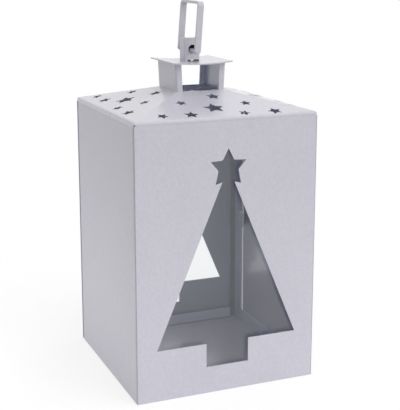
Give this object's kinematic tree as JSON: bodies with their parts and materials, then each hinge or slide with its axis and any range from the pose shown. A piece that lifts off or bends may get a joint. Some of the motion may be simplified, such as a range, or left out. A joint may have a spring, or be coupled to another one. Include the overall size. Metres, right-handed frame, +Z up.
{
  "type": "lantern",
  "caption": "Square painted sheet metal candle lantern with glazed tree windows, a side door, a star-punched pyramid roof, a smoke collar with a cap and a swinging carrying loop.",
  "frame": {"origin": "middle of the square underside of the body, on the table", "axes": "+X to the door side, -Y to the front, +Z up"},
  "size_m": [0.163, 0.15, 0.3008],
  "materials": {
    "paint": "satin white powder coat with a very fine texture",
    "inner_paint": "satin powder coat",
    "glass": "clear and polished",
    "steel": "plain zinc-coated steel",
    "magnet": "dull grey"
  },
  "bodies": {
    "body": {"front_panel": "paint", "back_panel": "paint", "left_wall": "paint", "right_wall": "paint", "floor_plate": "inner_paint", "front_glass": "glass", "back_glass": "glass", "front_glass_channel": "paint", "back_glass_channel": "paint", "front_glass_clips": "paint", "back_glass_clips": "paint", "roof": "paint", "collar_left": "paint", "collar_right": "paint", "cap_plate": "paint", "handle_bracket": "paint", "upper_hinge_frame_leaf": "steel", "lower_hinge_frame_leaf": "steel", "upper_hinge_pin": "steel", "lower_hinge_pin": "steel", "frame_rivets": "steel", "catch_bracket": "paint", "catch_magnet": "magnet"},
    "door": {"door_panel": "paint", "upper_hinge_door_leaf": "steel", "lower_hinge_door_leaf": "steel", "door_knob": "paint", "door_rivets": "steel"},
    "handle": {"handle_loop": "paint"}
  },
  "joints": [
    {"name": "door_hinge", "type": "hinge", "parent": "body", "child": "door", "pos_m": [0.077, -0.0575, 0.1], "axis": [0, 0, -1], "range_deg": [0, 180]},
    {"name": "handle_pivot", "type": "hinge", "parent": "body", "child": "handle", "pos_m": [-0.00189, 0, 0.26144], "axis": [0, 1, 0], "range_deg": [-105, 95]}
  ]
}
